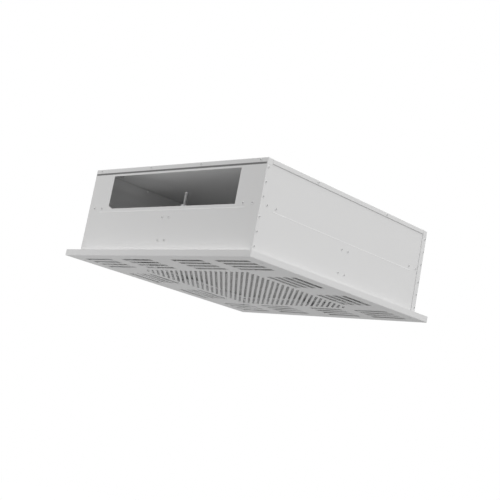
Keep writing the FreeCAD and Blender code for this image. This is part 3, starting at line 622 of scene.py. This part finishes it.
def join_all(pieces):
    """Joins pieces into one object."""
    select_only(*pieces)
    bpy.ops.object.join()
    return active()


def settle(piece, name, body, slot_name, *replaced):
    """Names a piece, sets it on its body and hides the nodes it stands for; its slot name is not used."""
    piece.name = name
    piece.data.name = name
    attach(piece, body)
    if replaced:
        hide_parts(*replaced)


def islands(node_name):
    """Lists the lowest and highest corner of each separate solid in a node."""
    mesh = bmesh.new()
    mesh.from_mesh(nodes[node_name].data)
    bmesh.ops.remove_doubles(mesh, verts=mesh.verts, dist=1e-6)
    waiting = set(mesh.verts)
    boxes = []
    while waiting:
        edge_of_search = [waiting.pop()]
        found = []
        while edge_of_search:
            vertex = edge_of_search.pop()
            found.append(vertex.co.copy())
            for edge in vertex.link_edges:
                other = edge.other_vert(vertex)
                if other in waiting:
                    waiting.remove(other)
                    edge_of_search.append(other)
        low = Vector([min(point[axis] for point in found) for axis in range(3)])
        high = Vector([max(point[axis] for point in found) for axis in range(3)])
        boxes.append((low, high))
    mesh.free()
    return sorted(boxes, key=lambda box: tuple(box[0]))


# Blind rivets: domed head with the broken mandrel in its hollow, and the tail inside.
def model_rivet():
    """Models one rivet on the Z axis with its head above the sheet's face at zero."""
    head_radius = 3.2 * MM
    rim_height = 0.3 * MM
    hollow_radius = 1.72 * MM
    head = [(0.3, 3.0), (0.28, 2.5), (0.12, 2.0), (-0.05, 1.75), (-0.75, 1.6)]
    tail = [(0.0, 2.0), (2.3, 2.0), (0.2, 2.5), (0.9, 2.75), (1.2, 2.45), (0.4, 1.7), (0.5, 1.3),
            (0.25, 0.7)]
    rivet = add_cylinder(20, head_radius, rim_height, rim_height / 2)
    coat(rivet, RIVET_METAL, RIVET_CORE_AND_HOLLOW_SHADE, RIVET_TAIL_HIGHLIGHT)
    set_mode("EDIT")
    profile_end(True, head_radius, in_metres(head))
    # The hollow and the mandrel take the darker finish: the mandrel's steel, with painted shade on the
    # hollow's walls.
    coat_faces(1, lambda centre: centre.xy.length < hollow_radius and centre.z > 0)
    pick_faces(lambda centre, normal: centre.xy.length < 0.1 * MM and centre.z > 0 and normal.z > 0.9)
    step_out(0, 0.6)
    step_out(0.35 * MM, 0.85)
    profile_end(False, head_radius, in_metres(tail))
    # The tail's faces take the near-white finish, a painted highlight.
    coat_faces(2, lambda centre: centre.z < -0.5 * MM)
    set_mode("OBJECT")
    set_smooth(rivet, 40)
    return rivet


def rivet_place(low, high):
    """Returns the matrix that seats a rivet on the wall, from the box of a plain head."""
    middle = (low + high) / 2
    flat_axis = 0 if high.x - low.x < high.y - low.y else 1
    outward = Vector((0, 0, 0))
    outward[flat_axis] = math.copysign(1, middle[flat_axis])
    seat = middle.copy()
    seat[flat_axis] = min(abs(low[flat_axis]), abs(high[flat_axis])) * outward[flat_axis]
    turn = outward.to_track_quat("Z", "Y").to_matrix().to_4x4()
    return Matrix.Translation(seat) @ turn


def add_rivets():
    """Sets a rivet on each head of the rivet nodes."""
    rivet = model_rivet()
    for node_name in sorted(nodes):
        if SLOT_OF_NODE[node_name] != "rivet_metal":
            continue
        pieces = [copy_to(rivet, rivet_place(low, high)) for low, high in islands(node_name)]
        whole = join_all(pieces)
        settle(whole, f"{node_name}_set", "housing", "rivet_metal", node_name)
    bpy.data.objects.remove(rivet)


# Threads, nuts and screws.
def sweep_thread(radius, root, pitch, turns, sides):
    """Sweeps a thread's profile up the Z axis from height zero."""
    profile = bpy.data.meshes.new("thread_profile")
    profile.from_pydata([(root, 0, 0), (radius, 0, 0.45 * pitch), (radius, 0, 0.55 * pitch),
                         (root, 0, pitch)], [(0, 1), (1, 2), (2, 3)], [])
    thread = bpy.data.objects.new("thread", profile)
    scene.collection.objects.link(thread)
    sweep = thread.modifiers.new("sweep", "SCREW")
    sweep.axis = "Z"
    sweep.steps = sides
    sweep.render_steps = sides
    sweep.screw_offset = pitch
    sweep.iterations = turns
    sweep.use_normal_calculate = True
    select_only(thread)
    apply_modifiers(thread)
    return thread


def model_thread(radius, pitch, low, high):
    """Models a threaded bar on the Z axis between two heights."""
    sides = 14
    depth = 0.6 * pitch
    end = 0.8 * pitch
    turns = int((high - low - 2 * end) / pitch)
    start = low + (high - low - pitch * (turns + 1)) / 2
    thread = sweep_thread(radius, radius - depth, pitch, turns, sides)
    thread.data.transform(Matrix.Translation((0, 0, start)))
    core_radius = radius - 0.95 * depth
    core = add_cylinder(2 * sides, core_radius, high - low - 2 * end, (low + high) / 2)
    profile_both_ends(core_radius, [(-end, radius * 0.99), (end, radius * 0.99),
                                    (end * 0.7, radius * 0.9), (end * 0.3, radius * 0.78)])
    bar = join_all([core, thread])
    set_mode("EDIT")
    bpy.ops.mesh.select_all(action="SELECT")
    bpy.ops.mesh.remove_doubles(threshold=1e-6)
    bpy.ops.mesh.fill_holes(sides=0)
    bpy.ops.mesh.normals_make_consistent(inside=False)
    set_mode("OBJECT")
    set_smooth(bar, 30)
    return bar


def model_nut(flats, bore_radius, low, high):
    """Models a hexagon nut on the Z axis, chamfered at both ends and bored."""
    corner = flats / math.sqrt(3)
    height = high - low
    middle = (low + high) / 2
    barrel_radius = corner * 1.01
    face_radius = flats * 0.475
    chamfer = (barrel_radius - face_radius) * math.tan(math.radians(30))
    rim = bore_radius * 0.12
    rim_radius = bore_radius * 1.12
    nut = add_cylinder(6, corner, height, middle, QUARTER_TURN)
    barrel = add_cylinder(48, barrel_radius, height - 2 * chamfer, middle)
    profile_both_ends(barrel_radius, [(chamfer, face_radius)])
    cut_with(nut, barrel, "INTERSECT")
    bore = add_cylinder(32, bore_radius, height - 2 * rim, middle)
    profile_both_ends(bore_radius, [(rim * 1.01, rim_radius), (rim, rim_radius)])
    cut_with(nut, bore)
    set_smooth(nut, 25)
    return nut


def spots_of(node_name):
    """Lists the (x, y) middle of each solid in a node."""
    return [((low.x + high.x) / 2, (low.y + high.y) / 2) for low, high in islands(node_name)]


def place_copies(template, spots, name, node_name):
    """Copies a zinc-plated template to (x, y) spots as one piece and removes the template."""
    coat(template, ZINC_STEEL)
    pieces = [copy_to(template, Matrix.Translation((x, y, 0))) for x, y in spots]
    bpy.data.objects.remove(template)
    whole = join_all(pieces)
    settle(whole, name, "housing", "zinc_steel", node_name)


def add_clamp_hardware():
    """Models the M8 rods and nuts of the four clamps."""
    for side in SIDES:
        spot = spots_of(f"{side}_clamp_rod")
        low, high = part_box(f"{side}_clamp_rod")
        rod = model_thread(4 * MM, 1.25 * MM, low.z, high.z)
        place_copies(rod, spot, f"{side}_threaded_rod", f"{side}_clamp_rod")
        for kind, word in (("upper_nut", "long_nut"), ("lower_nut", "clamp_nut")):
            low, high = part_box(f"{side}_{kind}")
            nut = model_nut(13 * MM, 4.05 * MM, low.z, high.z)
            place_copies(nut, spot, f"{side}_{word}", f"{side}_{kind}")


def add_weld_nuts():
    """Models the M8 weld nuts under the cover and the M4 weld nuts on the casing's lips."""
    low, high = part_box("hanger_nuts")
    nut = model_nut(13 * MM, 4.05 * MM, low.z, high.z)
    place_copies(nut, spots_of("hanger_nuts"), "cover_weld_nuts", "hanger_nuts")
    low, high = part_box("face_weld_nuts")
    nut = model_nut(7 * MM, 2.1 * MM, low.z, high.z)
    place_copies(nut, spots_of("face_weld_nuts"), "lip_weld_nuts", "face_weld_nuts")


def add_face_screws():
    """Models the M4 countersunk screws with a cross recess."""
    head_radius = 4 * MM
    rim_height = 0.1 * MM
    recess = (0.9 * MM, 4.2 * MM, 1.8 * MM)
    recess_height = 0.5 * MM
    recess_taper = 0.55
    low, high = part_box("face_screws")
    shank = model_thread(2 * MM, 0.7 * MM, low.z + 1.6 * MM, high.z)
    head = add_cylinder(32, head_radius, rim_height, low.z + rim_height / 2)
    set_mode("EDIT")
    profile_end(True, head_radius, in_metres([(1.9, 2.0), (0.6, 1.9)]))
    set_mode("OBJECT")
    for angle in (0, QUARTER_TURN):
        clear_selection()
        bpy.ops.mesh.primitive_cube_add(size=1, location=(0, 0, low.z + recess_height),
                                        rotation=(0, 0, angle), scale=recess)
        bpy.ops.object.transform_apply()
        wing = active()
        set_mode("EDIT")
        pick_faces(lambda centre, normal: normal.z > 0.9)
        bpy.ops.transform.resize(value=(recess_taper, recess_taper, 1), center_override=(0, 0, 0))
        set_mode("OBJECT")
        cut_with(head, wing)
    set_smooth(head, 30)
    screw = join_all([head, shank])
    place_copies(screw, spots_of("face_screws"), "countersunk_screws", "face_screws")


# Sheet pieces whose cut edges are broken a little.
def ease_edges(node_name, name, body, width):
    """Copies a CAD piece, merges its triangles and bevels its sharp edges."""
    piece = copy_to(nodes[node_name], Matrix.Identity(4))
    for key in list(piece.keys()):
        del piece[key]
    piece.parent = None
    select_only(piece)
    set_mode("EDIT")
    bpy.ops.mesh.select_all(action="SELECT")
    bpy.ops.mesh.remove_doubles(threshold=1e-6)
    bpy.ops.mesh.dissolve_limited(angle_limit=math.radians(1))
    set_mode("OBJECT")
    bevel = piece.modifiers.new("eased", "BEVEL")
    bevel.width = width
    bevel.segments = 2
    bevel.limit_method = "ANGLE"
    bevel.angle_limit = math.radians(50)
    apply_modifiers(piece)
    set_smooth(piece, 35)
    settle(piece, name, body, SLOT_OF_NODE[node_name], node_name)


def add_eased_sheets():
    """Eases the brackets, washers, claws and gasket."""
    for side in SIDES:
        ease_edges(f"{side}_clamp_bracket", f"{side}_folded_bracket", "housing", 0.25 * MM)
        ease_edges(f"{side}_washer", f"{side}_plain_washer", "housing", 0.2 * MM)
        ease_edges(f"{side}_claw", f"{side}_swing_claw", f"{side}_claw_arm", 0.5 * MM)
    ease_edges("filter_gasket", "foamed_gasket", "housing", 1.5 * MM)


def add_level_ridges():
    """Models the faint raised line that the sealing frame presses into each wall."""
    width = 2 * FRAME_LINE_HALF_WIDTH
    length = 2 * FRAME_LINE_REACH
    rise = 0.4 * MM
    side_set_back = 1.2 * MM
    cover_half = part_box("top_cover")[1].x
    pieces = []
    for number, set_back in enumerate((0, side_set_back, 0, side_set_back)):
        reach = cover_half - set_back
        ridge = add_cylinder(3, 1, 1, 0)
        flat = Matrix(((0, 0, length, 0), (0, -rise / 1.5, 0, -reach - rise / 3),
                       (width / math.sqrt(3), 0, 0, FRAME_LINE_LEVEL), (0, 0, 0, 1)))
        ridge.data.transform(Matrix.Rotation(number * QUARTER_TURN, 4, "Z") @ flat)
        coat(ridge, CASING_PAINT)
        pieces.append(ridge)
    whole = join_all(pieces)
    settle(whole, "frame_line_ridges", "housing", "casing_paint")


# Filter guards of expanded sheet, and the glue beads over the pleats.
def model_guard(node_name, name):
    """Models a guard as a net of diamonds with raised strands."""
    cells_across = 76
    flattening = 0.6
    low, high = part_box(node_name)
    half = (high.x - low.x) / 2
    edge = half - 1 * MM
    clear_selection()
    bpy.ops.mesh.primitive_grid_add(x_subdivisions=cells_across, y_subdivisions=cells_across,
                                    size=4 * half, rotation=(0, 0, math.pi / 4))
    bpy.ops.object.transform_apply()
    guard = active()
    guard.data.transform(Matrix.Translation((0, 0, (low.z + high.z) / 2))
                         @ Matrix.Diagonal((1, flattening, 1, 1)))
    set_mode("EDIT")
    for normal in ((1, 0, 0), (-1, 0, 0), (0, 1, 0), (0, -1, 0)):
        bpy.ops.mesh.select_all(action="SELECT")
        bpy.ops.mesh.bisect(plane_co=Vector(normal) * edge, plane_no=normal, clear_outer=True)
    bpy.ops.mesh.select_all(action="SELECT")
    bpy.ops.mesh.dissolve_degenerate(threshold=1e-5)
    set_mode("OBJECT")
    strands = guard.modifiers.new("strands", "WIREFRAME")
    strands.thickness = high.z - low.z
    strands.use_even_offset = False
    strands.use_boundary = True
    apply_modifiers(guard)
    coat(guard, GUARD_COAT)
    settle(guard, name, "housing", "guard_mesh", node_name)


def model_glue_beads(node_name, name):
    """Models the hot-melt beads, each slightly lumpy along its length."""
    boxes = islands(node_name)
    low, high = boxes[0]
    radius = (high.z - low.z) / 2
    steps = 70
    span = (high.x - low.x) / steps
    clear_selection()
    bpy.ops.mesh.primitive_circle_add(vertices=8, radius=radius, fill_type="NGON",
                                      rotation=(0, QUARTER_TURN, 0))
    bpy.ops.object.transform_apply()
    bead = active()
    bead.data.transform(Matrix.Translation((low.x, 0, (low.z + high.z) / 2)))
    set_mode("EDIT")
    bpy.ops.mesh.select_all(action="SELECT")
    last_width = 1
    for step in range(steps):
        bpy.ops.mesh.extrude_region_move(TRANSFORM_OT_translate={"value": (span, 0, 0)})
        width = 1 + 0.09 * math.sin(step * 2.1) + 0.06 * math.sin(step * 0.83)
        bpy.ops.transform.resize(value=(1, width / last_width, 1))
        last_width = width
    bpy.ops.mesh.select_all(action="SELECT")
    bpy.ops.mesh.normals_make_consistent(inside=False)
    set_mode("OBJECT")
    set_smooth(bead, 60)
    coat(bead, RESIN)
    pieces = [copy_to(bead, Matrix.Translation((0, (one[0].y + one[1].y) / 2, 0))) for one in boxes]
    bpy.data.objects.remove(bead)
    whole = join_all(pieces)
    settle(whole, name, "housing", "filter_glue", node_name)


add_rivets()
add_clamp_hardware()
add_weld_nuts()
add_face_screws()
add_eased_sheets()
add_level_ridges()
for level in ("lower", "upper"):
    model_guard(f"{level}_guard", f"{level}_expanded_guard")
    model_glue_beads(f"{level}_glue_threads", f"{level}_glue_beads")


# Room: a pale floor far below, white behind, soft light from the side, the front and above.
def build_world():
    """Lights the room evenly, and shows plain white to camera, mirror and glass rays."""
    world = bpy.data.worlds.new("studio")
    scene.world = world
    world.use_nodes = True
    tree = world.node_tree
    soft = tree.nodes["Background"]
    soft.inputs["Color"].default_value = grey(1.0)
    soft.inputs["Strength"].default_value = 0.64
    plain = tree.nodes.new("ShaderNodeBackground")
    plain.inputs["Color"].default_value = grey(1.0)
    path = tree.nodes.new("ShaderNodeLightPath").outputs
    seen = calc(tree, "MAXIMUM", path["Is Camera Ray"], path["Is Glossy Ray"])
    seen = calc(tree, "MAXIMUM", seen, path["Is Transmission Ray"])
    mix = tree.nodes.new("ShaderNodeMixShader")
    tree.links.new(seen, mix.inputs[0])
    tree.links.new(soft.outputs[0], mix.inputs[1])
    tree.links.new(plain.outputs[0], mix.inputs[2])
    tree.links.new(mix.outputs[0], tree.nodes["World Output"].inputs["Surface"])


def build_floor():
    """Lays a pale floor far below, which looks white to the camera."""
    clear_selection()
    bpy.ops.mesh.primitive_plane_add(size=60, location=(0, 0, -2.6))
    floor = active()
    floor.name = "studio_floor"
    finish, tree, shader = new_finish("pale_floor", Roughness=0.8)
    mottle = noise(tree, tree.nodes.new("ShaderNodeTexCoord").outputs["Object"], scale=1.5)
    tree.links.new(blend_colours(tree, mottle, grey(0.7), grey(0.74)), shader.inputs["Base Color"])
    path = tree.nodes.new("ShaderNodeLightPath").outputs
    shader.inputs["Emission Color"].default_value = grey(1.0)
    tree.links.new(calc(tree, "MULTIPLY", path["Is Camera Ray"], 0.5), shader.inputs["Emission Strength"])
    coat(floor, finish)


def add_lamps():
    """Sets the three lamps of the room, and weak ones in the casing and over the plate's flange."""
    add_softbox("side_softbox", (3.2, 0.5, 0.9), (0, 0, 0.1), (2.0, 2.0), 41)
    add_softbox("front_softbox", (-1.1, -1.1, -0.5), (0, 0, 0.1), (1.0, 1.0), 7.5)
    add_softbox("top_softbox", (0.3, -0.6, 3.0), (0, 0, 0.1), (2.4, 2.4), 55)
    add_softbox("plenum_glow", (0, 0.03, 0.109), (0, 0.03, 1), (0.42, 0.42), 0.055, True)
    add_softbox("opening_glow", (-0.2, -0.19, 0.165), (-0.188, -0.19, 0.208), (0.13, 0.14), 0.0065, True)
    add_softbox("slot_glow", (-0.07, 0.07, 0.009), (-0.07, 0.07, 1), (0.4, 0.4), 0.05, True)
    add_softbox("left_wall_glow", (-0.235, 0, 0.004), (-0.28, 0, 0.012), (0.54, 0.006), 0.018, True)
    add_softbox("back_wall_glow", (0, 0.235, 0.004), (0, 0.28, 0.012), (0.54, 0.006), 0.005, True)
    for number, power in enumerate((0.05, 0.024, 0.02, 0.02)):
        turn = Matrix.Rotation(number * QUARTER_TURN, 4, "Z")
        add_softbox(f"flange_glow_{number + 1}", turn @ Vector((0, -0.286, 0.008)),
                    turn @ Vector((0, -0.276, 0.033)), (0.55, 0.014), power, True)


add_camera()
build_world()
build_floor()
add_lamps()
scene.view_settings.view_transform = "Standard"
